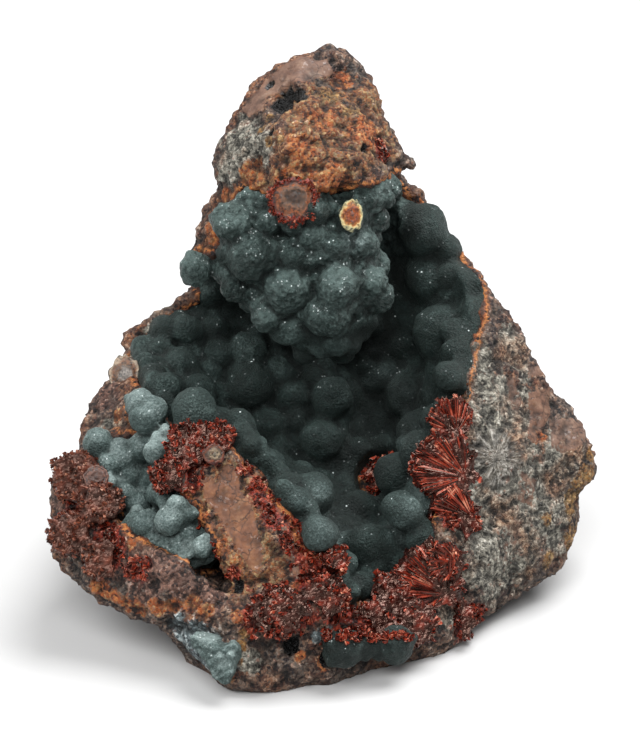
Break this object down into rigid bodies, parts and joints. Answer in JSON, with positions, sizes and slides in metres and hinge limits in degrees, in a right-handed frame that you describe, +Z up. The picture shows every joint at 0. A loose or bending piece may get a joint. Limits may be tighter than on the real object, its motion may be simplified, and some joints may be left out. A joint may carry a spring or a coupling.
{
  "type": "rockbridgeite mineral specimen",
  "caption": "Pyramid-shaped piece of brown rock broken open on a hollow lined with round black-green crystal crusts, with fans of red crystals on its broken edges.",
  "frame": {"origin": "middle of the specimen's outline seen from above, at the flat place it rests on", "axes": "-Y to the viewer of the picture, whose view looks down on the open hollow; +X to that viewer's right, along the widest way across; +Z up to the crown"},
  "size_m": [0.063, 0.0595, 0.06],
  "materials": {
    "matrix": "broken rock, rough, rusty brown with grey and ochre patches",
    "hollow_crust": "frosted black-green crystal balls",
    "pocket_crust": "frosted grey-green crystal balls",
    "underside_crust": "frosted black-green crystal balls",
    "foot_crust": "fine grey-blue crystals",
    "right_fans": "glossy red-brown crystal blades",
    "inner_fans": "glossy red-brown crystal blades",
    "floor_fans": "glossy red-brown crystal blades",
    "pillar_head_fans": "glossy red-brown crystal blades",
    "pillar_foot_fans": "glossy red-brown crystal blades",
    "left_fans": "glossy red-brown crystal blades"
  },
  "bodies": {
    "root": {"matrix": "matrix", "hollow_crust": "hollow_crust", "pocket_crust": "pocket_crust", "underside_crust": "underside_crust", "foot_crust": "foot_crust", "right_fans": "right_fans", "inner_fans": "inner_fans", "floor_fans": "floor_fans", "pillar_head_fans": "pillar_head_fans", "pillar_foot_fans": "pillar_foot_fans", "left_fans": "left_fans"}
  },
  "joints": []
}
